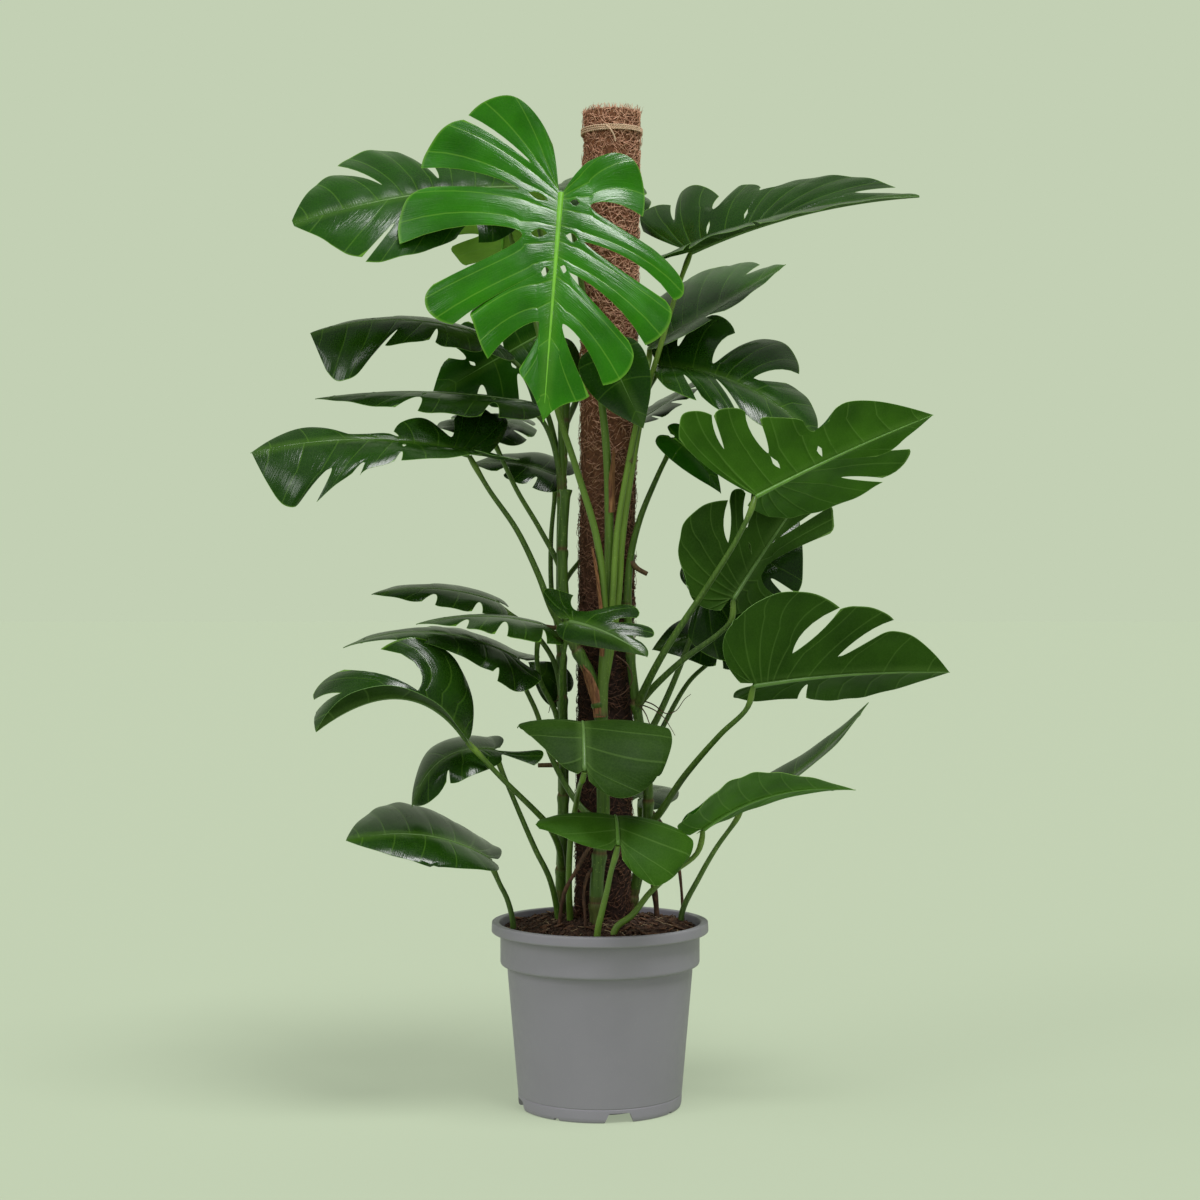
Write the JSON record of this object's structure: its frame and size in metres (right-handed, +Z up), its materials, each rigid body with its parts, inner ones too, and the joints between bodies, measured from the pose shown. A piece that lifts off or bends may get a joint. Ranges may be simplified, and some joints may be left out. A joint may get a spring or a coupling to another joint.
{
  "type": "potted swiss cheese plant",
  "caption": "Swiss cheese plant with large split leaves on arching stalks, climbing a coir pole in a round plastic nursery pot with a rolled rim.",
  "frame": {"origin": "centre of the pot's foot on the ground", "axes": "+Z up, -Y towards the front where the large young leaf hangs, +X to the right seen from the front"},
  "size_m": [0.8303, 0.4555, 1.24],
  "materials": {
    "leaf": "waxy dark green leaf with a soft gloss",
    "young_leaf": "bright green young leaf with a clear gloss",
    "stem": "smooth green stem, satin",
    "root": "rough brown aerial root",
    "sheath": "dry papery brown sheath",
    "pot": "satin moulded polypropylene, grey",
    "soil": "damp crumbly potting compost",
    "coir": "pressed coconut fibre, rough",
    "stake": "plain softwood stake",
    "twine": "twisted coir twine"
  },
  "bodies": {
    "root": {"leaf_01_crown": "young_leaf", "leaf_02_upper_left": "leaf", "leaf_03_behind_crown": "leaf", "leaf_04_behind_pole": "leaf", "leaf_05_upper_right": "leaf", "leaf_06_right_raised": "leaf", "leaf_07_right_arching": "leaf", "leaf_08_right_large": "leaf", "leaf_09_right_young": "leaf", "leaf_10_right_middle": "leaf", "leaf_11_right_behind": "leaf", "leaf_12_small_behind_right": "leaf", "leaf_13_right_lower": "leaf", "leaf_14_right_narrow": "leaf", "leaf_15_right_low": "leaf", "leaf_16_front_upper": "leaf", "leaf_17_front_lower": "leaf", "leaf_18_left_low": "leaf", "leaf_19_left_long": "leaf", "leaf_20_left_raised_lobe": "leaf", "leaf_21_left_hanging": "leaf", "leaf_22_left_level": "leaf", "leaf_23_left_level_front": "leaf", "leaf_24_front_middle": "leaf", "leaf_25_left_large": "leaf", "leaf_26_left_grey": "leaf", "leaf_27_left_dark": "leaf", "leaf_28_left_dark_low": "leaf", "leaf_29_left_upper_long": "leaf", "leaf_30_behind_left": "leaf", "leaf_31_by_pole": "leaf", "leaf_32_behind_right": "leaf", "leaf_33_behind_low": "leaf", "leaf_34_behind_stems": "leaf", "petiole_14": "stem", "petiole_15": "stem", "petiole_16": "stem", "petiole_17": "stem", "petiole_18": "stem", "petiole_21": "stem", "pole_coir_sleeve": "coir", "pole_stake": "stake", "pole_twine": "twine", "pot": "pot", "root_front_left": "root", "root_front_middle": "root", "root_right_thick": "root", "root_right_thin": "root", "sheath_low": "sheath", "sheath_middle": "sheath", "sheath_upper": "sheath", "soil": "soil", "stem_front": "stem", "stem_left": "stem", "stem_right": "stem"}
  },
  "joints": []
}
